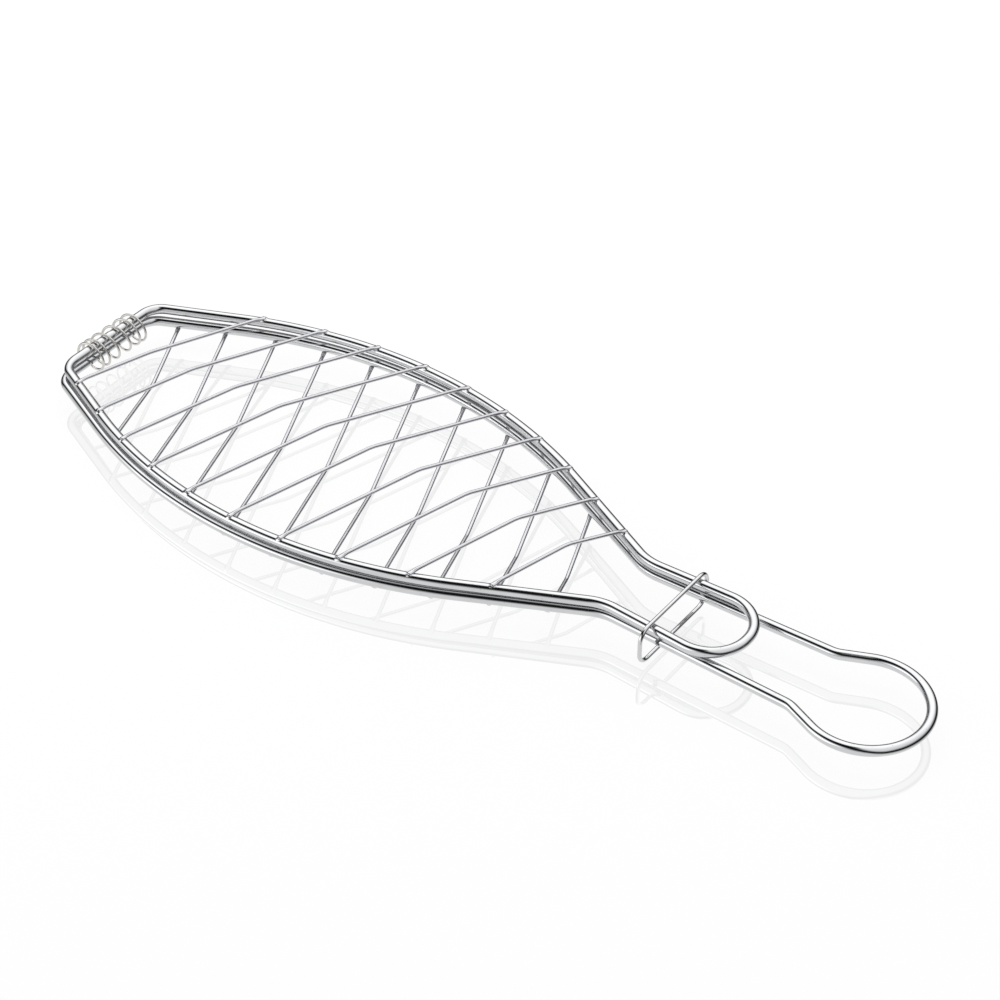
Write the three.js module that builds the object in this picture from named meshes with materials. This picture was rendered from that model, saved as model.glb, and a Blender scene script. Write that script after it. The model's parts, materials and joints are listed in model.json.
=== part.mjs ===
// A hinged wire basket for grilling a whole fish: two fish-shaped frames of heavy wire, each filled
// with thin kinked wires, joined at the tail by a wound spring coil and held shut by a sliding ring.
// Millimetres. +X runs from the tail hinge to the handle, +Y across, +Z up. The basket lies flat
// and closed. The origin is the middle of its bounding box in X and Y, at its lowest point in Z.

import * as THREE from 'three';

// ---------------------------------------------------------------- driving dimensions

// wire diameters
const HEAVY_WIRE = 4; // rims and handles
const MESH_WIRE = 1.5; // the thin wires across the rims
const RING_WIRE = 1.6;
const COIL_WIRE = 1;

// the fish outline, on the centre line of the heavy wire, measured from the tail bar
const BODY_LENGTH = 249.5; // tail bar to neck
const BODY_WIDTH = 114.6; // at the belly
const BELLY_X = 114.3; // where the outline is widest
const SIDE_RADIUS = 198; // of the long side arcs
const SIDE_RADIUS_LIMIT = 0.95; // at most this share of an arc that would end at a corner
const TAIL_WIDTH = 50.4; // of the tail bar, to its sharp corners
const TAIL_CORNER_RADIUS = 9;
const NECK_WIDTH = 27.3; // between the two legs at the neck
const NECK_RADIUS = 20.8;

// upper handle: a short U
const U_HANDLE_LENGTH = 50.6; // neck to the end of the U
const U_HANDLE_WIDTH = 32.4; // at the end of the U, to its sharp corners
const U_CORNER_RADIUS = 15;
const U_CORNER_LIMIT = 0.95; // at most this share of half the U's width

// lower handle: two long legs and a keyhole loop
const LEG_LENGTH = 77.1; // neck to the start of the loop's flare
const LEG_END_WIDTH = 31.3; // the legs spread a little towards the loop
const FLARE_ANGLE = 23.7; // degrees
const FLARE_RADIUS = 9.6;
const LOOP_RADIUS = 22.5;

// how the two frames lie on each other
const RIM_GAP = 0.35; // between the upper and the lower rim
const LOWER_SIDE_SHIFT = 2.9; // the lower frame lies this far towards -Y at the tail
const LOWER_TURN = 0.65; // degrees that it is turned about the tail, back towards +Y

// thin wires
const WIRES = 10; // in each frame
const UPPER_FIRST_WIRE_X = 25.6; // where the first wire of the upper frame crosses the centre line
const LOWER_FIRST_WIRE_X = 22.7; // the same in the lower frame, but for its first wire's shift
const UPPER_LAST_WIRE_FROM_NECK = 23.2; // where the last wire of the upper frame crosses it
const LOWER_LAST_WIRE_FROM_NECK = 25.3;
const LOWER_FIRST_WIRE_SHIFT = 1.1; // its first wire lies this much nearer to the second
const UPPER_WIRE_ANGLE = 21.7; // degrees from square across, halfway along
const LOWER_WIRE_ANGLE = 20.3;
const UPPER_WIRE_FAN = 0; // how much less the last wire slants than the first, degrees
const LOWER_WIRE_FAN = 3.2;
const WIRE_OVERHANG = 1; // tip past the centre line of the rim
const UPPER_KINK_RISE = 5.8; // at the middle wires, over the wires' ends
const LOWER_KINK_RISE = 6.5;
const UPPER_KINK_LEAN = 1.1; // more rise at the last wire, less at the first
const LOWER_KINK_LEAN = -0.3;
const UPPER_KINK_LOSS = 3.4; // less rise at the first and last wire
const LOWER_KINK_LOSS = 2;
const UPPER_KINK_OFFSET = 2.2; // kinks lie this far to one side of the centre line
const LOWER_KINK_OFFSET = 0.9;
const KINK_FLAT = 2.4; // short level crown of each kink
const KINK_RADIUS = 5;

// hinge coil
const COIL_END_ROOM = 11.7; // from each end of the coil to the tail bar's sharp corner
const COIL_TURNS = 6;
const COIL_PLAY = 1.525; // all round the two tail bars, inside the coil
const COIL_Y = 1.6; // where it sits along the tail bars
const COIL_END_SQUEEZE = 0.46; // turns are this share closer than average at the ends

// latch ring
const RING_FROM_NECK = 21.3;
const RING_Y = -1.2; // where it sits across the legs
const RING_PLAY = 2.1; // at each end of the ring, beside the widest part of the legs
const RING_SLACK = 4.85; // between its two bars, over the thickness of both rims
const RING_CORNER_RADIUS = 5;

// clearances
const WELD_GAP = 0.3; // between a thin wire and the rim that carries it
const COIL_GAP = 0.3; // between the coil's turns and the upper tail bar they hang on
const RING_GAP = 0.4; // between the ring's upper bar and the legs it hangs on

// fineness
const HEAVY_SIDES = 12;
const MESH_SIDES = 8;
const RING_SIDES = 10;
const COIL_SIDES = 8;
const BEND_STEP = 12; // degrees of bend in one straight step of a small bend
const ARC_STEP = 5; // the same on the long side arcs
const COIL_STEPS_PER_TURN = 16;

// ---------------------------------------------------------------- wire bending

const rad = THREE.MathUtils.degToRad;

// A bent wire's centre line, given by its stations. Station i lies at u = i / (stations - 1), so
// that an extrusion with that many steps puts one cross-section at each station.
class WireLine extends THREE.Curve {
  constructor(stations, closed) {
    super();
    this.stations = closed ? [...stations, stations[0]] : stations;
    this.closed = closed;
    this.steps = this.stations.length - 1;
  }

  getPointAt(u, target = new THREE.Vector3()) {
    return target.copy(this.stations[Math.round(u * this.steps)]);
  }

  getTangentAt(u, target = new THREE.Vector3()) {
    const i = Math.round(u * this.steps);
    const last = this.steps;
    const arriving = new THREE.Vector3();
    const leaving = new THREE.Vector3();
    if (i > 0 || this.closed) {
      arriving.subVectors(this.stations[i || last], this.stations[(i || last) - 1]).normalize();
    }
    if (i < last || this.closed) {
      leaving.subVectors(this.stations[(i % last) + 1], this.stations[i % last]).normalize();
    }
    return target.addVectors(arriving, leaving).normalize();
  }
}

// The stations of a wire bent through corner points. Each corner is { x, y, z, radius, step }: it is
// rounded by an arc of that radius, in steps of that many degrees. A corner without a radius stays.
function bend(corners, closed) {
  const stations = [];
  corners.forEach((corner, i) => {
    const here = new THREE.Vector3(corner.x, corner.y, corner.z ?? 0);
    const before = corners[(i + corners.length - 1) % corners.length];
    const after = corners[(i + 1) % corners.length];
    const isEnd = !closed && (i === 0 || i === corners.length - 1);
    if (isEnd || !corner.radius) {
      stations.push(here);
      return;
    }
    const back = new THREE.Vector3(before.x, before.y, before.z ?? 0).sub(here).normalize();
    const ahead = new THREE.Vector3(after.x, after.y, after.z ?? 0).sub(here).normalize();
    const turn = Math.PI - back.angleTo(ahead);
    const centre = back.clone().add(ahead).normalize();
    centre.multiplyScalar(corner.radius / Math.cos(turn / 2)).add(here);
    const start = back.clone().multiplyScalar(corner.radius * Math.tan(turn / 2)).add(here);
    const fromCentre = start.clone().sub(centre);
    const axis = new THREE.Vector3().crossVectors(ahead, back).normalize();
    const steps = Math.max(1, Math.ceil(turn / rad(corner.step ?? BEND_STEP)));
    for (let k = 0; k <= steps; k += 1) {
      const turned = fromCentre.clone().applyAxisAngle(axis, (turn * k) / steps);
      stations.push(turned.add(centre));
    }
  });
  return stations.filter((p, i) => i === 0 || p.distanceTo(stations[i - 1]) > 1e-3);
}

// The cross-section of a wire: a polygon whose flats lie at the wire's diameter, one of them down.
function wireSection(diameter, sides) {
  const radius = diameter / 2 / Math.cos(Math.PI / sides);
  const points = [];
  for (let i = 0; i < sides; i += 1) {
    const angle = ((i + 0.5) / sides) * 2 * Math.PI;
    points.push(new THREE.Vector2(radius * Math.cos(angle), radius * Math.sin(angle)));
  }
  return new THREE.Shape(points);
}

// A solid wire along its stations. A closed wire keeps only the walls of the extrusion, because its
// first and last cross-sections are the same one.
function wireSolid(stations, closed, diameter, sides) {
  const line = new WireLine(stations, closed);
  const solid = new THREE.ExtrudeGeometry(wireSection(diameter, sides), {
    steps: line.steps,
    extrudePath: line,
  });
  if (!closed) return solid;
  const walls = solid.groups.find((group) => group.materialIndex === 1);
  const positions = solid.getAttribute('position').array;
  const kept = positions.slice(walls.start * 3, (walls.start + walls.count) * 3);
  const loop = new THREE.BufferGeometry();
  loop.setAttribute('position', new THREE.BufferAttribute(kept, 3));
  loop.computeVertexNormals();
  return loop;
}

// ---------------------------------------------------------------- materials

const chromedWire = (color, roughness) =>
  new THREE.MeshStandardMaterial({ color, roughness, metalness: 1 });
const rimMetal = chromedWire(0xd9dadc, 0.12);
const meshMetal = chromedWire(0xd2d3d6, 0.2);
const ringMetal = chromedWire(0xd6d7da, 0.14);
const coilMetal = chromedWire(0xb9b4ac, 0.28);

// ---------------------------------------------------------------- rims and handles

// The corner of a long side. Its arc touches the belly's width at BELLY_X, and the corner is the
// crossing of the tangents to the arc's circle from the tail corner and from the neck corner. The
// arc is tighter where those corners leave it less room.
function sideCorner(tail, neck) {
  const belly = new THREE.Vector2(BELLY_X, BODY_WIDTH / 2);
  const roomTo = (corner) =>
    (SIDE_RADIUS_LIMIT * corner.distanceToSquared(belly)) / (2 * (belly.y - corner.y));
  const radius = Math.min(SIDE_RADIUS, roomTo(tail), roomTo(neck));
  const centre = new THREE.Vector2(belly.x, belly.y - radius);
  const slopeTo = (corner, side) => {
    const away = corner.clone().sub(centre);
    return away.angle() + side * Math.acos(radius / away.length());
  };
  const fromTail = slopeTo(tail, -1);
  const fromNeck = slopeTo(neck, 1);
  const middle = (fromTail + fromNeck) / 2;
  const reach = radius / Math.cos((fromTail - fromNeck) / 2);
  return {
    x: centre.x + reach * Math.cos(middle),
    y: centre.y + reach * Math.sin(middle),
    radius,
    step: ARC_STEP,
  };
}

// Half of the fish outline, from the tail corner to the neck, on the +Y side.
function halfFish() {
  const tail = new THREE.Vector2(0, TAIL_WIDTH / 2);
  const neck = new THREE.Vector2(BODY_LENGTH, NECK_WIDTH / 2);
  return [
    { x: tail.x, y: tail.y, radius: TAIL_CORNER_RADIUS },
    sideCorner(tail, neck),
    { x: neck.x, y: neck.y, radius: NECK_RADIUS },
  ];
}

// Half of the upper handle: the leg and the round corner at the end of the U.
function halfUHandle() {
  const halfWidth = U_HANDLE_WIDTH / 2;
  const radius = Math.min(U_CORNER_RADIUS, U_CORNER_LIMIT * halfWidth);
  return [{ x: BODY_LENGTH + U_HANDLE_LENGTH, y: halfWidth, radius }];
}

// Half of the lower handle: the long leg, its flare and the loop, whose circle touches the flare.
const LOOP_CENTRE_X = (() => {
  const flare = rad(FLARE_ANGLE);
  const flareStartX = BODY_LENGTH + LEG_LENGTH;
  const rise = LOOP_RADIUS / Math.cos(flare) - LEG_END_WIDTH / 2;
  return flareStartX + rise / Math.tan(flare);
})();

function halfLoopHandle() {
  const top = LOOP_CENTRE_X - LOOP_RADIUS * Math.tan(rad(FLARE_ANGLE) / 2);
  return [
    { x: BODY_LENGTH + LEG_LENGTH, y: LEG_END_WIDTH / 2, radius: FLARE_RADIUS },
    { x: top, y: LOOP_RADIUS, radius: LOOP_RADIUS },
    { x: LOOP_CENTRE_X + LOOP_RADIUS, y: LOOP_RADIUS, radius: LOOP_RADIUS },
  ];
}

// A whole outline from its half: the -Y half runs back the other way.
function wholeOutline(half) {
  const mirrored = half.map((corner) => ({ ...corner, y: -corner.y })).reverse();
  return bend([...half, ...mirrored], true);
}

const fishOutline = wholeOutline([...halfFish(), ...halfUHandle()]);
const upperRim = wireSolid(fishOutline, true, HEAVY_WIRE, HEAVY_SIDES);
const lowerOutline = wholeOutline([...halfFish(), ...halfLoopHandle()]);
const lowerRim = wireSolid(lowerOutline, true, HEAVY_WIRE, HEAVY_SIDES);

// ---------------------------------------------------------------- thin wires

// How the wires of one frame lie: where each one crosses the centre line, how far it slants, how
// high it rises at its kink over its ends, and how far the kink lies off the centre line.
function wireSet({ firstX, firstShift, lastFromNeck, angle, fan, rise, lean, loss, offset }) {
  const spacing = (BODY_LENGTH - firstX - lastFromNeck) / (WIRES - 1);
  return Array.from({ length: WIRES }, (_, i) => {
    const fromMiddle = (2 * i) / (WIRES - 1) - 1;
    return {
      x: firstX + i * spacing + (i === 0 ? firstShift : 0),
      slope: Math.tan(rad(angle - (fan / 2) * fromMiddle)),
      rise: rise + lean * fromMiddle - loss * fromMiddle ** 2,
      offset,
    };
  });
}

const upperWires = wireSet({
  firstX: UPPER_FIRST_WIRE_X,
  firstShift: 0,
  lastFromNeck: UPPER_LAST_WIRE_FROM_NECK,
  angle: UPPER_WIRE_ANGLE,
  fan: UPPER_WIRE_FAN,
  rise: UPPER_KINK_RISE,
  lean: UPPER_KINK_LEAN,
  loss: UPPER_KINK_LOSS,
  offset: UPPER_KINK_OFFSET,
});
const lowerWires = wireSet({
  firstX: LOWER_FIRST_WIRE_X,
  firstShift: LOWER_FIRST_WIRE_SHIFT,
  lastFromNeck: LOWER_LAST_WIRE_FROM_NECK,
  angle: LOWER_WIRE_ANGLE,
  fan: LOWER_WIRE_FAN,
  rise: LOWER_KINK_RISE,
  lean: LOWER_KINK_LEAN,
  loss: LOWER_KINK_LOSS,
  offset: LOWER_KINK_OFFSET,
});

// Where a thin wire that crosses the centre line at x meets the rim on one side (+1 or -1).
function rimCrossing(x, slope, side) {
  let crossing = null;
  fishOutline.forEach((a, i) => {
    const b = fishOutline[(i + 1) % fishOutline.length];
    const offA = a.x - x - a.y * slope;
    const offB = b.x - x - b.y * slope;
    if (offA * offB > 0 || offA === offB) return;
    const point = a.clone().lerp(b, offA / (offA - offB));
    if (point.y * side > 0) crossing = point;
  });
  return crossing;
}

// One thin wire, lying on top of its rim: level with the rim at both ends, raised at the kink.
function thinWire({ x, slope, rise, offset }) {
  const along = new THREE.Vector3(slope, 1, 0).normalize();
  const seat = HEAVY_WIRE / 2 + WELD_GAP + MESH_WIRE / 2;
  const kink = new THREE.Vector3(x - offset * slope, -offset, seat + rise);
  const half = (side) => {
    const crown = kink.clone().addScaledVector(along, (side * KINK_FLAT) / 2);
    const onRim = rimCrossing(x, slope, side).setZ(seat);
    const downhill = onRim.clone().sub(crown).normalize();
    return { crown, tip: onRim.addScaledVector(downhill, WIRE_OVERHANG) };
  };
  const near = half(-1);
  const far = half(1);
  const corners = [
    near.tip,
    { ...near.crown, radius: KINK_RADIUS },
    { ...far.crown, radius: KINK_RADIUS },
    far.tip,
  ];
  return wireSolid(bend(corners, false), false, MESH_WIRE, MESH_SIDES);
}

// ---------------------------------------------------------------- hinge coil

const TWO_RIMS = 2 * HEAVY_WIRE + RIM_GAP; // the thickness of both rims together
const COIL_RADIUS = TWO_RIMS / 2 + COIL_PLAY + COIL_WIRE / 2; // of the wire's centre line
const COIL_LENGTH = TAIL_WIDTH - 2 * COIL_END_ROOM;

// The coil runs round both tail bars. The turns stand closer together at its two ends.
function coilStations() {
  const steps = COIL_TURNS * COIL_STEPS_PER_TURN;
  const squeeze = COIL_END_SQUEEZE / Math.PI;
  const stations = [];
  for (let k = 0; k <= steps; k += 1) {
    const t = (2 * k) / steps - 1;
    const angle = Math.PI - (2 * Math.PI * k) / COIL_STEPS_PER_TURN;
    const y = (COIL_LENGTH / 2) * (t + squeeze * Math.sin(Math.PI * t));
    stations.push(
      new THREE.Vector3(COIL_RADIUS * Math.cos(angle), y, COIL_RADIUS * Math.sin(angle)),
    );
  }
  return stations;
}

// ---------------------------------------------------------------- latch ring

// between the centre lines of the ring's ends, and of its two bars
const HANDLE_WIDTH = Math.max(NECK_WIDTH, U_HANDLE_WIDTH, LEG_END_WIDTH) + HEAVY_WIRE;
const RING_WIDTH = HANDLE_WIDTH + 2 * RING_PLAY + RING_WIRE;
const RING_HEIGHT = TWO_RIMS + RING_SLACK + RING_WIRE;

// A rounded rectangle that stands square across the handles, round all four legs.
function ringStations() {
  const y = RING_WIDTH / 2;
  const z = RING_HEIGHT / 2;
  const corners = [
    { x: 0, y, z, radius: RING_CORNER_RADIUS },
    { x: 0, y: -y, z, radius: RING_CORNER_RADIUS },
    { x: 0, y: -y, z: -z, radius: RING_CORNER_RADIUS },
    { x: 0, y, z: -z, radius: RING_CORNER_RADIUS },
  ];
  return bend(corners, true);
}

// ---------------------------------------------------------------- assembly

function named(name, geometry, material) {
  const mesh = new THREE.Mesh(geometry, material.clone());
  mesh.name = name;
  return mesh;
}

const twoDigits = (number) => String(number).padStart(2, '0');

const upperFrame = new THREE.Group();
upperFrame.add(named('upper_rim', upperRim, rimMetal));

// The lower frame is the same basket turned over about its long axis, with the longer handle.
const turnedOver = new THREE.Group();
turnedOver.add(named('lower_rim', lowerRim, rimMetal));

for (let i = 0; i < WIRES; i += 1) {
  const number = twoDigits(i + 1);
  upperFrame.add(named(`upper_wire_${number}`, thinWire(upperWires[i]), meshMetal));
  turnedOver.add(named(`lower_wire_${number}`, thinWire(lowerWires[i]), meshMetal));
}
turnedOver.rotation.x = Math.PI;

const lowerFrame = new THREE.Group();
lowerFrame.add(turnedOver);
lowerFrame.rotation.z = rad(LOWER_TURN);
lowerFrame.position.set(0, -LOWER_SIDE_SHIFT, -(HEAVY_WIRE + RIM_GAP));

// The coil and the ring hang on the upper frame's heavy wire.
const coilSolid = wireSolid(coilStations(), false, COIL_WIRE, COIL_SIDES);
const coil = named('hinge_coil', coilSolid, coilMetal);
const coilDrop = COIL_RADIUS - COIL_WIRE / 2 - COIL_GAP - HEAVY_WIRE / 2;
coil.position.set(0, COIL_Y, -coilDrop);

const ringSolid = wireSolid(ringStations(), true, RING_WIRE, RING_SIDES);
const ring = named('latch_ring', ringSolid, ringMetal);
const ringDrop = (RING_HEIGHT - RING_WIRE - HEAVY_WIRE) / 2 - RING_GAP;
ring.position.set(BODY_LENGTH + RING_FROM_NECK, RING_Y, -ringDrop);

const basket = new THREE.Group();
basket.add(upperFrame, lowerFrame, coil, ring);

// The parts above are placed from the upper tail bar. The basket as a whole is placed from the
// middle of its box and from its lowest point, the crown of the deepest lower kink.
const box = new THREE.Box3().setFromObject(basket, true);
const middle = box.getCenter(new THREE.Vector3());
basket.position.set(-middle.x, -middle.y, -box.min.z);

const part = new THREE.Group();
part.add(basket);

export default part;
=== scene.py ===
# A hinged basket for grilling a whole fish, bent and welded from chromed steel wire. Two
# fish-shaped frames lie on each other, a wound coil holds them together at the tail, and a ring
# slides along their handles to keep them shut. Metres, +X from the tail to the handle, +Y across,
# +Z up.

import json
import math

import bpy
import numpy as np
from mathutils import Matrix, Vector


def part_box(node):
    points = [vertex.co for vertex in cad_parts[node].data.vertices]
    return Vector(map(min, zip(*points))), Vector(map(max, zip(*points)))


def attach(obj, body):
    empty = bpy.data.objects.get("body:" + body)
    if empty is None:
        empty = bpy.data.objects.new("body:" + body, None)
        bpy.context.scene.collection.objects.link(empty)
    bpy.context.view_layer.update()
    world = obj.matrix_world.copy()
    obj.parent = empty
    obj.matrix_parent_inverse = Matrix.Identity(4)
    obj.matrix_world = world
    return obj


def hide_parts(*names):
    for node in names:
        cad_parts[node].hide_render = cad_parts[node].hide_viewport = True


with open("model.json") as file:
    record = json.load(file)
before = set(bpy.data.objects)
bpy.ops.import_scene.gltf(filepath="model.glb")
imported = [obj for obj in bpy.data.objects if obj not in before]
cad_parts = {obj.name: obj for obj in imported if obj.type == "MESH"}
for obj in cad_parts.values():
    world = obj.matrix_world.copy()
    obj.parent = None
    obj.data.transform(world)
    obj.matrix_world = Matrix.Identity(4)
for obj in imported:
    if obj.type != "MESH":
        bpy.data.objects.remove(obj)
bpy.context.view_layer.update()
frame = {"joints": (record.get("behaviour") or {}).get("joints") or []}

scene = bpy.context.scene

# ---------------------------------------------------------------- where the camera stands
# The basket is seen from its near right, a little under forty degrees above the table, through a
# long lens, so that its tail points away to the left and its handle comes forward to the right.
VIEW_AZIMUTH = math.radians(36.58)
VIEW_ELEVATION = math.radians(39.37)
VIEW_DISTANCE = 0.933
VIEW_LENS = 91.27  # mm
SENSOR_WIDTH = 36  # mm
VIEW_CLIP = (0.05, 60)
VIEW_TARGET = Vector((0.0041, 0.0111, 0.01466))

towards_camera = Vector((
    math.sin(VIEW_AZIMUTH) * math.cos(VIEW_ELEVATION),
    -math.cos(VIEW_AZIMUTH) * math.cos(VIEW_ELEVATION),
    math.sin(VIEW_ELEVATION),
))
camera = bpy.data.objects.new("camera", bpy.data.cameras.new("camera"))
camera.data.lens = VIEW_LENS
camera.data.sensor_width = SENSOR_WIDTH
camera.data.clip_start, camera.data.clip_end = VIEW_CLIP
camera.location = VIEW_TARGET + towards_camera * VIEW_DISTANCE
camera.rotation_mode = "QUATERNION"
camera.rotation_quaternion = (-towards_camera).to_track_quat("-Z", "Y")
scene.collection.objects.link(camera)
scene.camera = camera

# ---------------------------------------------------------------- rims and handles
# Each rim is one 4 mm wire: it runs round the fish from the tail bar to the neck and on into the
# handle, a short U above and a long keyhole loop below. It is bent cold, its two ends are butt
# welded inside the coil at the tail, and the finished frame is chromed.
RIM_RADIUS = 0.002
BODY_LENGTH = 0.2495  # tail bar to neck, on the wire's centre line
BODY_WIDTH = 0.1146
BELLY_X = 0.1143
SIDE_RADIUS = 0.198
TAIL_WIDTH = 0.0504
TAIL_CORNER_RADIUS = 0.009
NECK_WIDTH = 0.0273
NECK_RADIUS = 0.0208
U_HANDLE_LENGTH = 0.0506
U_HANDLE_WIDTH = 0.0324
U_CORNER_RADIUS = 0.015
LEG_LENGTH = 0.0771
LEG_END_WIDTH = 0.0313
FLARE_ANGLE = math.radians(23.7)
FLARE_RADIUS = 0.0096
LOOP_RADIUS = 0.0225
LOWER_SIDE_SHIFT = 0.0029
LOWER_TURN = math.radians(0.65)
RIM_STEP = 0.0008  # between neighbouring sections of the wire
RIM_SIDES = 32
SHORTEST_RUN = 1e-6
END_DOME = 0.3  # how far a cut end stands out, against half the wire's width
UP = np.array([0, 0, 1.0])


def bent_path(corners, radii, spacing, closed):
    """Straight runs joined by arcs. At a corner with direction a in and b out, which turns by t,
    the arc of radius r starts r tan(t/2) before the corner. Its points are
    start + r (sin(w) a + (1 - cos(w)) n) for w from 0 to t, with n pointing to the arc's centre.
    Returns the points and their unit tangents."""
    corners = np.asarray(corners, float)
    points = []
    tangents = []
    count = len(corners)
    here = None
    order = range(count + 1) if closed else range(1, count - 1)
    if not closed:
        here = corners[0]
    for k in order:
        corner = corners[k % count]
        radius = radii[k % count]
        arriving = corner - corners[(k - 1) % count]
        leaving = corners[(k + 1) % count] - corner
        a = arriving / np.linalg.norm(arriving)
        b = leaving / np.linalg.norm(leaving)
        turn = math.acos(np.clip(a @ b, -1, 1))
        reach = radius * math.tan(turn / 2)
        start = corner - a * reach
        if here is not None:
            run = np.linalg.norm(start - here)
            if run > SHORTEST_RUN:
                share = np.linspace(0, 1, max(2, math.ceil(run / spacing)), endpoint=False)
                points.append(here + share[:, None] * (start - here))
                tangents.append(np.repeat(a[None], len(share), 0))
        if closed and k == count:
            break
        n = b - a * (a @ b)
        n = n / np.linalg.norm(n)
        steps = max(3, math.ceil(radius * turn / spacing))
        w = np.linspace(0, turn, steps, endpoint=False)[:, None]
        points.append(start + radius * (np.sin(w) * a + (1 - np.cos(w)) * n))
        tangents.append(np.cos(w) * a + np.sin(w) * n)
        here = corner + b * reach
    if not closed:
        last = corners[-1]
        a = (last - here) / np.linalg.norm(last - here)
        share = np.linspace(0, 1, max(2, math.ceil(np.linalg.norm(last - here) / spacing)))
        points.append(here + share[:, None] * (last - here))
        tangents.append(np.repeat(a[None], len(share), 0))
    return np.concatenate(points), np.concatenate(tangents)


def tube_faces(rows, sides, closed):
    """The faces of a tube whose point (i, j) has the number i sides + j: quads between
    neighbouring rows, and on an open tube a fan of triangles from each end to its pole. The two
    poles are the tube's last points. Returns the quads and the triangles."""
    i, j = np.meshgrid(np.arange(rows if closed else rows - 1), np.arange(sides), indexing="ij")
    i_next = (i + 1) % rows
    j_next = (j + 1) % sides
    quads = np.stack([
        i * sides + j,
        i_next * sides + j,
        i_next * sides + j_next,
        i * sides + j_next,
    ], -1).reshape(-1, 4)
    if closed:
        return quads, np.empty((0, 3), int)
    around = np.arange(sides)
    onward = (around + 1) % sides
    last = (rows - 1) * sides
    pole = np.full(sides, rows * sides)
    return quads, np.concatenate([
        np.stack([around, onward, pole], -1),
        np.stack([last + onward, last + around, pole + 1], -1),
    ])


def swept_wire(name, path, tangents, reference, widths, heights, sides, closed, heat):
    """A round or flattened section carried along a path. Point (i, j) lies at
    path[i] + widths[i] cos(a_j) side[i] + heights[i] sin(a_j) up[i], where side[i] is square to the
    tangent and to the reference direction, and up[i] completes the frame. Open ends close in a
    pole. The attribute straight holds each point's place on the wire before it was bent, and heat
    how near it lies to a weld."""
    side = np.cross(tangents, reference)
    side /= np.linalg.norm(side, axis=1, keepdims=True)
    up = np.cross(side, tangents)
    angle = 2 * np.pi * np.arange(sides) / sides
    ring = (
        path[:, None]
        + (widths[:, None] * np.cos(angle))[..., None] * side[:, None]
        + (heights[:, None] * np.sin(angle))[..., None] * up[:, None]
    )
    gaps = np.linalg.norm(np.diff(path, axis=0), axis=1)
    length = np.concatenate([[0], np.cumsum(gaps)])
    straight = np.stack([
        widths[:, None] * np.cos(angle),
        heights[:, None] * np.sin(angle),
        np.repeat(length[:, None], sides, 1),
    ], -1)
    warmth = np.repeat(heat[:, None], sides, 1)
    vertices = ring.reshape(-1, 3)
    straight = straight.reshape(-1, 3)
    warmth = warmth.ravel()
    if not closed:
        poles = [
            path[0] - tangents[0] * widths[0] * END_DOME,
            path[-1] + tangents[-1] * widths[-1] * END_DOME,
        ]
        vertices = np.concatenate([vertices, poles])
        straight = np.concatenate([straight, [[0, 0, length[0]], [0, 0, length[-1]]]])
        warmth = np.concatenate([warmth, [heat[0], heat[-1]]])
    quads, triangles = tube_faces(len(path), sides, closed)
    return shown_mesh(name, vertices, quads.tolist() + triangles.tolist(), straight, warmth)


def shown_mesh(name, vertices, faces, straight, warmth):
    """A smooth-shaded mesh object with its two attributes, linked to the scene."""
    mesh = bpy.data.meshes.new(name)
    mesh.from_pydata(vertices, [], faces)
    mesh.attributes.new("straight", "FLOAT_VECTOR", "POINT").data.foreach_set(
        "vector", np.asarray(straight, np.float32).ravel()
    )
    mesh.attributes.new("heat", "FLOAT", "POINT").data.foreach_set(
        "value", np.asarray(warmth, np.float32)
    )
    mesh.polygons.foreach_set("use_smooth", np.ones(len(mesh.polygons), bool))
    mesh.update()
    piece = bpy.data.objects.new(name, mesh)
    scene.collection.objects.link(piece)
    return piece


def fish_corners():
    """The +Y half of the fish, as corners and their radii. The long side is an arc that touches
    both the line from the tail corner and the line to the neck corner, so its corner is where the
    two tangents from those corners to the arc's circle cross."""
    tail = np.array([0, TAIL_WIDTH / 2])
    neck = np.array([BODY_LENGTH, NECK_WIDTH / 2])
    centre = np.array([BELLY_X, BODY_WIDTH / 2 - SIDE_RADIUS])
    tail_away = tail - centre
    neck_away = neck - centre
    from_tail = math.atan2(*tail_away[::-1]) - math.acos(SIDE_RADIUS / np.linalg.norm(tail_away))
    from_neck = math.atan2(*neck_away[::-1]) + math.acos(SIDE_RADIUS / np.linalg.norm(neck_away))
    middle = (from_tail + from_neck) / 2
    reach = SIDE_RADIUS / math.cos((from_tail - from_neck) / 2)
    belly = centre + reach * np.array([math.cos(middle), math.sin(middle)])
    return [tail, belly, neck], [TAIL_CORNER_RADIUS, SIDE_RADIUS, NECK_RADIUS]


def whole_outline(handle_corners, handle_radii):
    """The closed centre line of a rim: the +Y half of the fish and handle, then its mirror image
    run back the other way, in the rim's own plane. It starts and ends at the middle of the tail
    bar."""
    half, radii = fish_corners()
    half = np.array(half + handle_corners)
    radii = radii + handle_radii
    mirrored = half[::-1] * [1, -1]
    corners = np.concatenate([half, mirrored])
    corners = np.column_stack([corners, np.zeros(len(corners))])
    points, tangents = bent_path(corners, radii + radii[::-1], RIM_STEP, closed=True)
    first = np.hypot(points[:, 0], points[:, 1]).argmin()
    return np.roll(points, -first, 0), np.roll(tangents, -first, 0)


hinge_joint = next(joint for joint in frame["joints"] if joint["type"] == "hinge")
TAIL_BAR_X = hinge_joint["pos_m"][0]
upper_low, upper_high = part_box("upper_rim")
lower_low, lower_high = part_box("lower_rim")
MIDDLE_Y = (upper_low.y + upper_high.y) / 2
UPPER_Z = (upper_low.z + upper_high.z) / 2
LOWER_Z = (lower_low.z + lower_high.z) / 2


def place_upper(local):
    """From the frame's own measures, x from the tail bar and z from the rim, to the basket's."""
    return np.asarray(local) + [TAIL_BAR_X, MIDDLE_Y, UPPER_Z]


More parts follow.
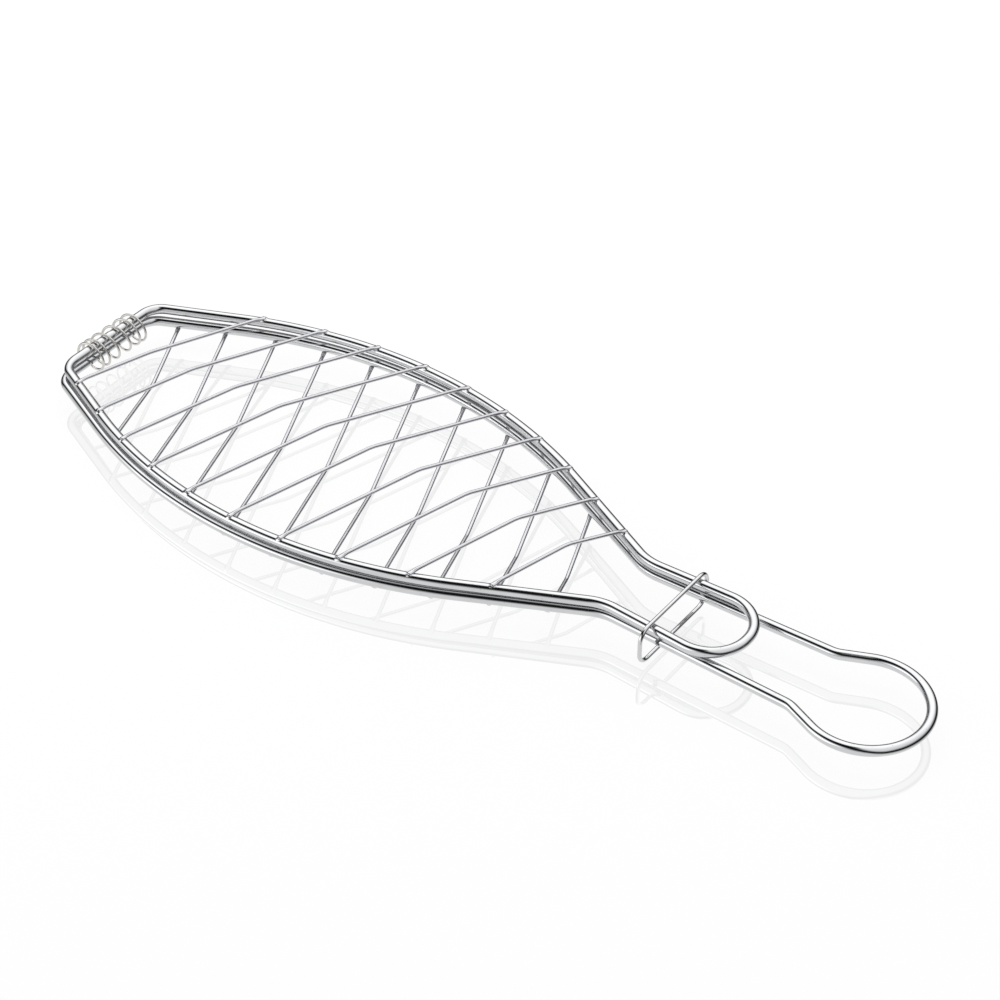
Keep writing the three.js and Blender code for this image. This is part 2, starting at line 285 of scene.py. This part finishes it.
def turn_lower(directions):
    """Turned over about the long axis, (x, -y, -z), and then by the small angle at the tail."""
    x, y, z = (np.asarray(directions) * [1, -1, -1]).T
    cosine, sine = math.cos(LOWER_TURN), math.sin(LOWER_TURN)
    return np.stack([x * cosine - y * sine, x * sine + y * cosine, z], -1)


def place_lower(local):
    """The lower frame is the same basket turned over, a little to the near side."""
    return turn_lower(local) + [TAIL_BAR_X, MIDDLE_Y - LOWER_SIDE_SHIFT, LOWER_Z]


u_end = np.array([BODY_LENGTH + U_HANDLE_LENGTH, U_HANDLE_WIDTH / 2])
upper_outline = whole_outline([u_end], [U_CORNER_RADIUS])

flare_start = np.array([BODY_LENGTH + LEG_LENGTH, LEG_END_WIDTH / 2])
flare_rise = LOOP_RADIUS / math.cos(FLARE_ANGLE) - LEG_END_WIDTH / 2
LOOP_CENTRE_X = flare_start[0] + flare_rise / math.tan(FLARE_ANGLE)
loop_top = np.array([LOOP_CENTRE_X - LOOP_RADIUS * math.tan(FLARE_ANGLE / 2), LOOP_RADIUS])
loop_end = np.array([LOOP_CENTRE_X + LOOP_RADIUS, LOOP_RADIUS])
lower_outline = whole_outline(
    [flare_start, loop_top, loop_end],
    [FLARE_RADIUS, LOOP_RADIUS, LOOP_RADIUS],
)

# The finish of drawn and plated wire, which every piece has with its own values.
LINE_STRETCH = 0.025  # of the die lines' noise, along the wire
LINE_NOISE = (2600, 3)  # scale and detail
CLOUD_NOISE = (90, 4)
GRAIN_NOISE = (1300, 2)
PIT_EDGE = (0.68, 0.74)  # of the grains, from sound metal to a pit
LINE_SHARE = 0.6  # of the lines in the dullness, with the rest from the clouds
DULL_EDGE = (0.35, 0.65)  # of that sum, from the smoothest to the dullest
HEAT_DULLNESS = 0.22
PIT_DULLNESS = 0.2
CLOUD_EDGE = (0.3, 0.7)
CLOUD_SHADE = (0.93, 1.04)
SCALE_COLOUR = (0.2, 0.16, 0.12)  # of the burnt skin round a weld and in a pit
PIT_SHADE = 0.35
PIT_DEPTH = 0.5  # in bump heights
WAVE_DEPTH = 3
BUMP_HEIGHT = 0.000012


def new_group(name, inputs, outputs):
    """An empty shader node group with the given sockets, each a name with its kind."""
    group = bpy.data.node_groups.new(name, "ShaderNodeTree")
    for direction, sockets in (("INPUT", inputs), ("OUTPUT", outputs)):
        for label, kind in sockets.items():
            group.interface.new_socket(label, in_out=direction, socket_type="NodeSocket" + kind)
    return group


def feed(tree, value, socket):
    """Give an input its value: another socket, which is linked, or a plain number or colour."""
    if isinstance(value, bpy.types.NodeSocket):
        tree.links.new(value, socket)
    else:
        socket.default_value = value


def maths(tree, operation, *values, kind="Math"):
    """The result of a Math or VectorMath node: the operation on its values, in order."""
    node = tree.nodes.new("ShaderNode" + kind)
    node.operation = operation
    for socket, value in zip(node.inputs, values):
        feed(tree, value, socket)
    return next(output for output in node.outputs if output.enabled)


def ramp(tree, value, edge, levels=(0, 1), interpolation="LINEAR"):
    """The value carried over from the two ends of edge to the two levels, and held beyond."""
    node = tree.nodes.new("ShaderNodeMapRange")
    node.interpolation_type = interpolation
    feed(tree, value, node.inputs["Value"])
    for label, limit in zip(("From Min", "From Max", "To Min", "To Max"), (*edge, *levels)):
        feed(tree, limit, node.inputs[label])
    return node.outputs["Result"]


def noise(tree, place, scale, detail):
    """Smooth noise at a place, from 0 to 1."""
    node = tree.nodes.new("ShaderNodeTexNoise")
    node.inputs["Scale"].default_value = scale
    node.inputs["Detail"].default_value = detail
    feed(tree, place, node.inputs["Vector"])
    return node.outputs["Fac"]


def mixed(tree, factor, first, second, data_type="FLOAT", blend_type="MIX"):
    """A Mix node: the first value where the factor is 0, and the second where it is 1."""
    node = tree.nodes.new("ShaderNodeMix")
    node.data_type = data_type
    node.blend_type = blend_type
    for label, value in (("Factor", factor), ("A", first), ("B", second)):
        feed(tree, value, node.inputs[label])
    return node.outputs["Result"]


def build_wire_finish():
    """Drawn and plated wire. Die lines run along the wire: noise on the straight wire's
    coordinates, stretched forty times along its length. Clouds in the plating and small pits lie
    over them, and a weld's heat darkens and dulls the metal near it."""
    group = new_group("wire finish", {
        "Straight": "Vector",
        "Heat": "Float",
        "Metal": "Color",
        "Smoothest": "Float",
        "Dullest": "Float",
        "Line Depth": "Float",
    }, {
        "Color": "Color",
        "Roughness": "Float",
        "Normal": "Vector",
    })
    given = group.nodes.new("NodeGroupInput").outputs
    result = group.nodes.new("NodeGroupOutput").inputs

    stretched = group.nodes.new("ShaderNodeMapping")
    stretched.inputs["Scale"].default_value = (1, 1, LINE_STRETCH)
    feed(group, given["Straight"], stretched.inputs["Vector"])
    lines = noise(group, stretched.outputs["Vector"], *LINE_NOISE)
    clouds = noise(group, given["Straight"], *CLOUD_NOISE)
    grains = noise(group, given["Straight"], *GRAIN_NOISE)
    pits = ramp(group, grains, PIT_EDGE)

    clouds_share = maths(group, "MULTIPLY", clouds, 1 - LINE_SHARE)
    texture = maths(group, "MULTIPLY_ADD", lines, LINE_SHARE, clouds_share)
    dull = ramp(group, texture, DULL_EDGE, (given["Smoothest"], given["Dullest"]))
    heated = maths(group, "MULTIPLY_ADD", given["Heat"], HEAT_DULLNESS, dull)
    pitted = maths(group, "MULTIPLY_ADD", pits, PIT_DULLNESS, heated)
    feed(group, pitted, result["Roughness"])

    shade = ramp(group, clouds, CLOUD_EDGE, CLOUD_SHADE)
    clouded = mixed(group, 1, given["Metal"], shade, "RGBA", "MULTIPLY")
    burnt = maths(group, "MULTIPLY", given["Heat"], grains)
    in_pits = maths(group, "MULTIPLY", pits, PIT_SHADE)
    scaled = maths(group, "MAXIMUM", burnt, in_pits)
    feed(group, mixed(group, scaled, clouded, (*SCALE_COLOUR, 1), "RGBA"), result["Color"])

    line_height = maths(group, "MULTIPLY", lines, given["Line Depth"])
    pit_depth = maths(group, "MULTIPLY", pits, PIT_DEPTH)
    height = maths(group, "SUBTRACT", line_height, pit_depth)
    bump = group.nodes.new("ShaderNodeBump")
    bump.inputs["Strength"].default_value = 1
    bump.inputs["Distance"].default_value = BUMP_HEIGHT
    feed(group, maths(group, "MULTIPLY_ADD", clouds, WAVE_DEPTH, height), bump.inputs["Height"])
    feed(group, bump.outputs["Normal"], result["Normal"])
    return group


wire_finish = build_wire_finish()


def wire_material(name, metal, smoothest, dullest, line_depth):
    """A metal wire: the finish group on the piece's own straight and heat attributes."""
    material = bpy.data.materials.new(name)
    material.use_nodes = True
    nodes = material.node_tree.nodes
    link = material.node_tree.links.new
    shader = nodes["Principled BSDF"]
    shader.inputs["Metallic"].default_value = 1
    finish = nodes.new("ShaderNodeGroup")
    finish.node_tree = wire_finish
    finish.inputs["Metal"].default_value = (*metal, 1)
    finish.inputs["Smoothest"].default_value = smoothest
    finish.inputs["Dullest"].default_value = dullest
    finish.inputs["Line Depth"].default_value = line_depth
    straight = nodes.new("ShaderNodeAttribute")
    straight.attribute_name = "straight"
    heat = nodes.new("ShaderNodeAttribute")
    heat.attribute_name = "heat"
    link(straight.outputs["Vector"], finish.inputs["Straight"])
    link(heat.outputs["Fac"], finish.inputs["Heat"])
    link(finish.outputs["Color"], shader.inputs["Base Color"])
    link(finish.outputs["Roughness"], shader.inputs["Roughness"])
    link(finish.outputs["Normal"], shader.inputs["Normal"])
    return material


rim_chrome = wire_material(
    "rim_chrome", metal=(0.56, 0.565, 0.575), smoothest=0.03, dullest=0.08, line_depth=0.5
)

WIRES = 10


def wire_set(first_x, first_shift, spacing, angle, fan, rise, lean, loss, offset):
    """The ten thin wires of a frame, each with the x at which it crosses the centre line, its
    slope, the rise of its kink over its ends, and the kink's offset. With m from -1 at the first
    wire to 1 at the last, the slant is angle - m fan / 2 and the rise is
    rise + lean m - loss m^2."""
    i = np.arange(WIRES)
    m = 2 * i / (WIRES - 1) - 1
    x = first_x + i * spacing + first_shift * (i == 0)
    slope = np.tan(np.radians(angle - m * fan / 2))
    kink_rise = rise + lean * m - loss * m * m
    return list(zip(x, slope, kink_rise, np.full(WIRES, offset)))


upper_wires = wire_set(
    first_x=0.0256, first_shift=0, spacing=0.0223, angle=21.7, fan=0,
    rise=0.0058, lean=0.0011, loss=0.0034, offset=0.0022,
)
lower_wires = wire_set(
    first_x=0.0227, first_shift=0.0011, spacing=0.0223889, angle=20.3, fan=3.2,
    rise=0.0065, lean=-0.0003, loss=0.002, offset=0.0009,
)
SEAM_SWELL = 0.00018
SEAM_LENGTH = 0.0009
SEAM_HEAT = 0.5
SPOT_HEAT = 0.12
SPOT_HEAT_REACH = 0.0025


def rim_crossings(wires, outline):
    """Where each thin wire crosses the rim on the near and on the far side: the places on the
    outline where x - y slope passes the wire's own x."""
    points = outline[0]
    following = np.roll(points, -1, 0)
    crossings = []
    for x, slope, _, _ in wires:
        here = points[:, 0] - points[:, 1] * slope - x
        onward = following[:, 0] - following[:, 1] * slope - x
        spots = np.flatnonzero(here * onward < 0)
        share = (here[spots] / (here[spots] - onward[spots]))[:, None]
        found = points[spots] + share * (following[spots] - points[spots])
        crossings.append((found[found[:, 1].argmin()], found[found[:, 1].argmax()]))
    return np.array(crossings)


def rim_piece(name, node, body, outline, wires, place, turn):
    """A whole rim. It swells a little at the butt weld, exp(-(s / length)^2), in the middle of the
    tail bar, and its heat is the same curve round that weld and round each spot weld."""
    points, tangents = outline
    tail_distance = np.hypot(points[:, 0], points[:, 1])
    seam = np.exp(-((tail_distance / SEAM_LENGTH) ** 2))
    seam *= points[:, 0] < RIM_RADIUS
    spots = rim_crossings(wires, outline).reshape(-1, 3)
    nearest = np.linalg.norm(points[:, None] - spots[None], axis=2).min(1)
    heat = SEAM_HEAT * seam + SPOT_HEAT * np.exp(-((nearest / SPOT_HEAT_REACH) ** 2))
    radius = RIM_RADIUS + SEAM_SWELL * seam
    piece = swept_wire(
        name, place(points), turn(tangents), UP, widths=radius, heights=radius,
        sides=RIM_SIDES, closed=True, heat=heat,
    )
    piece.data.materials.append(rim_chrome)
    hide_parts(node)
    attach(piece, body)


rim_piece(
    "upper_rim_wire", "upper_rim", "upper_frame", upper_outline,
    upper_wires, place_upper, np.asarray,
)
rim_piece(
    "lower_rim_wire", "lower_rim", "lower_frame", lower_outline,
    lower_wires, place_lower, turn_lower,
)

# ---------------------------------------------------------------- thin wires and their welds
# Ten 1.5 mm wires lie across each rim, all slanting the same way. Each is kinked away from the fish
# at the middle, and its two ends are pressed into the rim by the spot welder, which flattens them
# and leaves a low nugget of metal round each.
THIN_RADIUS = 0.00075
WIRE_OVERHANG = 0.001
KINK_FLAT = 0.0024
KINK_RADIUS = 0.005
WELD_GAP = 0.0003  # between rim and wire before welding, which the kinks keep
WELD_SINK = 0.0003  # of the pressed ends into the rim
FLAT_WIDTH = 1.3  # of a pressed end, against the round wire
FLAT_HEIGHT = 0.68
FLAT_END = 0.0045  # from the tip to where the wire is round again
FLAT_BLEND = 0.003
TIP_ROUND = 0.0008  # radius of the rounded tip
TIP_BLUNT = 0.97  # how nearly it comes to a point
TIP_HEAT = 0.25
TIP_HEAT_REACH = 0.002
THIN_STEP = 0.0007
THIN_SIDES = 20
TIP_STEPS = 8  # over the last step to each tip

thin_chrome = wire_material(
    "thin_wire_chrome", metal=(0.52, 0.52, 0.545), smoothest=0.15, dullest=0.24, line_depth=1
)
weld_chrome = wire_material(
    "weld_chrome", metal=(0.56, 0.56, 0.565), smoothest=0.12, dullest=0.26, line_depth=2
)


def thin_wire(name, wire, ends, place, turn):
    """One thin wire, given as its x, slope, kink rise and kink offset, with its two crossings of
    the rim. Within a few millimetres of each tip the section blends to the pressed one by a
    smooth step."""
    x, slope, rise, offset = wire
    along = np.array([slope, 1, 0]) / math.hypot(slope, 1)
    across = np.array([along[1], -along[0], 0])
    top = RIM_RADIUS + WELD_GAP + THIN_RADIUS + rise
    kink = np.array([x - offset * slope, -offset, top])
    seat = RIM_RADIUS + THIN_RADIUS - WELD_SINK
    corners = []
    for end, side in zip(ends, (-1, 1)):
        crown = kink + along * side * KINK_FLAT / 2
        on_rim = end + [0, 0, seat]
        downhill = (on_rim - crown) / np.linalg.norm(on_rim - crown)
        corners.append((crown, on_rim + downhill * WIRE_OVERHANG))
    (near_crown, near_tip), (far_crown, far_tip) = corners
    path, tangents = bent_path(
        [near_tip, near_crown, far_crown, far_tip],
        [0, KINK_RADIUS, KINK_RADIUS, 0], THIN_STEP, closed=False,
    )
    steps = np.linspace(0, THIN_STEP, TIP_STEPS, endpoint=False)
    first = near_tip + np.outer(steps, tangents[0])
    steps = np.linspace(THIN_STEP, 0, TIP_STEPS)[1:]
    last = far_tip - np.outer(steps, tangents[-1])
    path = np.concatenate([first, path[1:-1], last])
    tangents = np.concatenate([
        np.repeat(tangents[:1], len(first), 0),
        tangents[1:-1],
        np.repeat(tangents[-1:], len(last), 0),
    ])
    from_tip = np.minimum(
        np.linalg.norm(path - near_tip, axis=1), np.linalg.norm(path - far_tip, axis=1)
    )
    round_off = np.sqrt(1 - np.clip(1 - from_tip / TIP_ROUND, 0, TIP_BLUNT) ** 2)
    pressed = np.clip((FLAT_END - from_tip) / FLAT_BLEND, 0, 1)
    pressed = pressed * pressed * (3 - 2 * pressed)
    level_half = THIN_RADIUS * (1 + (FLAT_WIDTH - 1) * pressed) * round_off
    upright_half = THIN_RADIUS * (1 + (FLAT_HEIGHT - 1) * pressed) * round_off
    path[:, 2] -= THIN_RADIUS * (1 - FLAT_HEIGHT) * pressed
    heat = TIP_HEAT * np.exp(-((from_tip / TIP_HEAT_REACH) ** 2))
    piece = swept_wire(
        name, place(path), turn(tangents), turn([across])[0],
        widths=upright_half, heights=level_half, sides=THIN_SIDES, closed=False, heat=heat,
    )
    piece.data.materials.append(thin_chrome)
    return piece


NUGGET_HALF_LENGTH = 0.0023  # along the thin wire
NUGGET_HALF_WIDTH = 0.0017
NUGGET_HEIGHT = 0.0006
NUGGET_CROWN = 0.00054
NUGGET_EDGE = 0.00006  # how far its edge lies inside the rim
NUGGET_FOOT = 0.4  # height of its closing point in the rim, against the rim's radius
NUGGET_RIPPLE = 0.00005
NUGGET_LOBES = 3
NUGGET_SPREAD = 0.12  # of the sizes, by the sine of each number's phase
NUGGET_PHASE = 7.3
NUGGET_HEAT = 0.1
NUGGET_SPACING = 0.02  # on the straight wire that the finish is drawn on
NUGGET_RINGS = 6
NUGGET_SPOKES = 24


def nugget_points(spot, tangent, slope, number):
    """One nugget on the top of the rim: a bump of height h (1 - q^2)^2 on an ellipse of radius
    q = 0 to 1, longer along the thin wire, wrapped round the rim. A point with the offsets (u, v)
    along and across the rim lies at
    spot + u tangent + (R + height) (sin(v / R) outward + cos(v / R) up).
    A crown point closes it above and a foot point inside the rim."""
    size = 1 + NUGGET_SPREAD * math.sin(NUGGET_PHASE * number)
    q = np.linspace(0, 1, NUGGET_RINGS + 1)[1:, None]
    angle = 2 * np.pi * np.arange(NUGGET_SPOKES) / NUGGET_SPOKES
    wire_way = np.array([slope, 1, 0]) / math.hypot(slope, 1)
    wire_cross = np.array([-wire_way[1], wire_way[0], 0])
    outward = np.cross(tangent, UP)
    long_way = NUGGET_HALF_LENGTH * size * q * np.cos(angle)
    wide_way = NUGGET_HALF_WIDTH * size * q * np.sin(angle)
    offset = long_way[..., None] * wire_way + wide_way[..., None] * wire_cross
    u = offset @ tangent
    v = offset @ outward
    bulge = 1 - q ** 2
    ripple = NUGGET_RIPPLE * np.sin(NUGGET_LOBES * angle + number) * bulge
    height = NUGGET_HEIGHT * size * bulge ** 2 - NUGGET_EDGE + ripple
    radius = (RIM_RADIUS + height)[..., None]
    lean = (v / RIM_RADIUS)[..., None]
    bump = spot + u[..., None] * tangent + radius * (np.sin(lean) * outward + np.cos(lean) * UP)
    crown = spot + UP * (RIM_RADIUS + NUGGET_CROWN * size)
    foot = spot + UP * RIM_RADIUS * NUGGET_FOOT
    return np.concatenate([bump.reshape(-1, 3), [crown, foot]])


def weld_nuggets(name, ends, outline, wires, place, body):
    """All the nuggets of a frame as one piece, two for each thin wire."""
    points, tangents = outline
    quads, triangles = tube_faces(NUGGET_RINGS, NUGGET_SPOKES, closed=False)
    vertices, faces, straight = [], [], []
    for number, spot in enumerate(ends.reshape(-1, 3)):
        tangent = tangents[np.linalg.norm(points - spot, axis=1).argmin()]
        nugget = nugget_points(spot, tangent, wires[number // 2][1], number)
        base = number * len(nugget)
        vertices.append(nugget)
        faces += (quads + base).tolist() + (triangles + base).tolist()
        straight.append(nugget - spot + UP * NUGGET_SPACING * number)
    vertices = np.concatenate(vertices)
    warmth = np.full(len(vertices), NUGGET_HEAT)
    piece = shown_mesh(name, place(vertices), faces, np.concatenate(straight), warmth)
    piece.data.materials.append(weld_chrome)
    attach(piece, body)


upper_ends = rim_crossings(upper_wires, upper_outline)
lower_ends = rim_crossings(lower_wires, lower_outline)
for i in range(WIRES):
    number = f"{i + 1:02d}"
    upper_wire = thin_wire(
        "upper_thin_wire_" + number, upper_wires[i], upper_ends[i], place_upper, np.asarray
    )
    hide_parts("upper_wire_" + number)
    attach(upper_wire, "upper_frame")
    lower_wire = thin_wire(
        "lower_thin_wire_" + number, lower_wires[i], lower_ends[i], place_lower, turn_lower
    )
    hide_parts("lower_wire_" + number)
    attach(lower_wire, "lower_frame")
weld_nuggets(
    "upper_weld_nuggets", upper_ends, upper_outline, upper_wires, place_upper, "upper_frame"
)
weld_nuggets(
    "lower_weld_nuggets", lower_ends, lower_outline, lower_wires, place_lower, "lower_frame"
)

# ---------------------------------------------------------------- hinge coil
# A loose coil of thin spring wire is wound round both tail bars and holds the frames together. It
# is plain drawn wire, not chromed, so it is duller and warmer than the rest. Its turns stand
# closer together at the two ends, and its ends are cut off square.
COIL_WIRE_RADIUS = 0.0005
COIL_LENGTH = 0.027
COIL_TURNS = 6
COIL_SQUEEZE = 0.46
COIL_STEPS = 900
COIL_SIDES = 16
coil_low, coil_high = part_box("hinge_coil")
coil_middle = (np.array(coil_low) + np.array(coil_high)) / 2
coil_radius = (coil_high.x - coil_low.x) / 2 - COIL_WIRE_RADIUS

coil_steel = wire_material(
    "coil_steel", metal=(0.58, 0.565, 0.54), smoothest=0.12, dullest=0.24, line_depth=2
)

# Its turn runs evenly with w from -1 to 1, while y is half its length times
# w + squeeze sin(pi w) / pi.
winding = np.linspace(-1, 1, COIL_STEPS)
turned = math.pi - math.pi * COIL_TURNS * (winding + 1)
coil_path = coil_middle + np.stack([
    coil_radius * np.cos(turned),
    COIL_LENGTH / 2 * (winding + COIL_SQUEEZE / math.pi * np.sin(math.pi * winding)),
    coil_radius * np.sin(turned),
], -1)
coil_tangents = np.gradient(coil_path, axis=0)
coil_tangents /= np.linalg.norm(coil_tangents, axis=1, keepdims=True)
coil_thickness = np.full(COIL_STEPS, COIL_WIRE_RADIUS)
coil = swept_wire(
    "hinge_coil_wire", coil_path, coil_tangents, np.array([0, 1.0, 0]),
    widths=coil_thickness, heights=coil_thickness,
    sides=COIL_SIDES, closed=False, heat=np.zeros(COIL_STEPS),
)
coil.data.materials.append(coil_steel)
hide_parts("hinge_coil")
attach(coil, "hinge_coil")

# ---------------------------------------------------------------- latch ring
# A flattened ring of 1.6 mm chromed wire hangs round all four handle legs. Slid towards the neck it
# holds the frames shut, and slid off the short upper handle it frees them. Its butt weld is at the
# far upper corner, left a little thick and dark.
RING_WIRE_RADIUS = 0.0008
RING_CORNER_RADIUS = 0.005
RING_WELD_LENGTH = 0.0008
RING_WELD_SWELL = 0.0001
RING_WELD_HEAT = 0.9
RING_STEP = 0.0004
RING_SIDES = 28
ring_low, ring_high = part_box("latch_ring")
ring_middle = (np.array(ring_low) + np.array(ring_high)) / 2
ring_y = (ring_high.y - ring_low.y) / 2 - RING_WIRE_RADIUS
ring_z = (ring_high.z - ring_low.z) / 2 - RING_WIRE_RADIUS

ring_chrome = wire_material(
    "ring_chrome", metal=(0.56, 0.56, 0.57), smoothest=0.04, dullest=0.11, line_depth=1.4
)
ring_path, ring_tangents = bent_path(
    ring_middle + np.array([
        [0, ring_y, ring_z], [0, -ring_y, ring_z], [0, -ring_y, -ring_z], [0, ring_y, -ring_z],
    ]),
    [RING_CORNER_RADIUS] * 4, RING_STEP, closed=True,
)
from_weld = np.linalg.norm(ring_path - ring_path[0], axis=1)
weld_curve = np.exp(-((from_weld / RING_WELD_LENGTH) ** 2))
ring_thickness = RING_WIRE_RADIUS + RING_WELD_SWELL * weld_curve
ring = swept_wire(
    "latch_ring_wire", ring_path, ring_tangents, np.array([1.0, 0, 0]),
    widths=ring_thickness, heights=ring_thickness,
    sides=RING_SIDES, closed=True, heat=RING_WELD_HEAT * weld_curve,
)
ring.data.materials.append(ring_chrome)
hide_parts("latch_ring")
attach(ring, "latch_ring")

# ---------------------------------------------------------------- table and light
# The basket lies on a plain sheet of polished white acrylic, lit from below, in a white tent. What
# the bright wire mirrors is the tent: the table below, bright cloth above, and between them the
# dark gap at the table's edge. The gap rises where the tent is open on the near side.
TABLE_RADIUS = 30.0
TABLE_SIDES = 96
TABLE_DROP = 0.0001
TABLE_COLOUR = (0.12, 0.12, 0.12)  # under its own glow
TABLE_GLOW = 0.74
TABLE_IOR = 2.1
GAP_DARK = 0.006  # brightness of each thing that the wire mirrors
TABLE_LIGHT = 1.08
CLOTH_LIGHT = 1.12
FAR_CLOTH_LIGHT = 2.1
CARD_LIGHT = 2.8
OPEN_WAY = (253, 0)  # azimuth from +X and elevation, degrees
FAR_CLOTH_WAY = (147, 28)
CARD_WAY = (222, 42)
OPEN_SPREAD = (0.13, 1.03)  # from and to, as cosines to the way
FAR_CLOTH_SPREAD = (-0.23, 1.4)
CARD_SPREAD = (0.55, 0.85)
GAP_HEIGHT = -0.03  # of its middle line, as the sine of an elevation
GAP_RISE = 0.82  # the same on the open side
GAP_FADE = (0.09, 0.72)  # from dark to bright, as heights from the middle line
SOFTBOX_SIZE = (1.2, 0.8)
SOFTBOX_POWER = 4
SOFTBOX_PLACE = Vector((-0.3, 0.4, 1.3))

table_angle = 2 * np.pi * np.arange(TABLE_SIDES) / TABLE_SIDES
table_points = np.stack([
    TABLE_RADIUS * np.cos(table_angle),
    TABLE_RADIUS * np.sin(table_angle),
    np.full(TABLE_SIDES, -TABLE_DROP),
], -1)
table_mesh = bpy.data.meshes.new("table")
table_mesh.from_pydata(table_points, [], [list(range(TABLE_SIDES))])
table = bpy.data.objects.new("table", table_mesh)
scene.collection.objects.link(table)
table.visible_glossy = False

table_white = bpy.data.materials.new("table_white")
table_white.use_nodes = True
table_shader = table_white.node_tree.nodes["Principled BSDF"]
table_shader.inputs["Base Color"].default_value = (*TABLE_COLOUR, 1)
table_shader.inputs["Roughness"].default_value = 0
table_shader.inputs["IOR"].default_value = TABLE_IOR
table_shader.inputs["Emission Color"].default_value = (1, 1, 1, 1)
table_shader.inputs["Emission Strength"].default_value = TABLE_GLOW
table_mesh.materials.append(table_white)

tent = bpy.data.worlds.new("white tent")
scene.world = tent
tent.use_nodes = True
tent_tree = tent.node_tree
tent_tree.nodes.clear()


def towards(looking, way):
    """The cosine between the direction looking and a way given as azimuth and elevation."""
    azimuth, elevation = (math.radians(angle) for angle in way)
    unit = (
        math.cos(elevation) * math.cos(azimuth),
        math.cos(elevation) * math.sin(azimuth),
        math.sin(elevation),
    )
    return maths(tent_tree, "DOT_PRODUCT", looking, unit, kind="VectorMath")


def between(value, edge, first, second):
    """A smooth step of the tent from the first level to the second."""
    return ramp(tent_tree, value, edge, (first, second), "SMOOTHSTEP")


looking = tent_tree.nodes.new("ShaderNodeTexCoord").outputs["Generated"]
level = maths(tent_tree, "MULTIPLY", looking, (1, 1, 0), kind="VectorMath")
bearing = maths(tent_tree, "NORMALIZE", level, kind="VectorMath")
gap_height = between(towards(bearing, OPEN_WAY), OPEN_SPREAD, GAP_HEIGHT, GAP_RISE)
over_gap = maths(tent_tree, "SUBTRACT", towards(looking, (0, 90)), gap_height)
from_gap = maths(tent_tree, "ABSOLUTE", over_gap)
is_over = maths(tent_tree, "GREATER_THAN", over_gap, 0)
far_side = towards(looking, FAR_CLOTH_WAY)
cloth = between(far_side, FAR_CLOTH_SPREAD, CLOTH_LIGHT, FAR_CLOTH_LIGHT)
under = between(towards(looking, CARD_WAY), CARD_SPREAD, TABLE_LIGHT, CARD_LIGHT)
walls = mixed(tent_tree, is_over, under, cloth)
mirrored = mixed(tent_tree, between(from_gap, GAP_FADE, 0, 1), GAP_DARK, walls)

# Only the wire mirrors the tent like this. The table's own polish is perfectly sharp, and it
# mirrors plain white beside the basket, so that the table stays evenly white from every side.
rays = tent_tree.nodes.new("ShaderNodeLightPath")
not_sharp = maths(tent_tree, "SUBTRACT", 1, rays.outputs["Is Singular Ray"])
by_wire = maths(tent_tree, "MULTIPLY", rays.outputs["Is Glossy Ray"], not_sharp)
sky = tent_tree.nodes.new("ShaderNodeBackground")
feed(tent_tree, mixed(tent_tree, by_wire, 1, mirrored), sky.inputs["Color"])
tent_out = tent_tree.nodes.new("ShaderNodeOutputWorld")
feed(tent_tree, sky.outputs["Background"], tent_out.inputs["Surface"])

# One broad softbox overhead gives the shadows a direction.
softbox = bpy.data.objects.new("softbox", bpy.data.lights.new("softbox", "AREA"))
softbox.data.shape = "RECTANGLE"
softbox.data.size, softbox.data.size_y = SOFTBOX_SIZE
softbox.data.energy = SOFTBOX_POWER
softbox.location = SOFTBOX_PLACE
softbox.rotation_mode = "QUATERNION"
softbox.rotation_quaternion = (-SOFTBOX_PLACE).to_track_quat("-Z", "Y")
softbox.visible_glossy = False
scene.collection.objects.link(softbox)

# Plain tones, so that the white of the table and the tent stays white.
scene.view_settings.view_transform = "Standard"
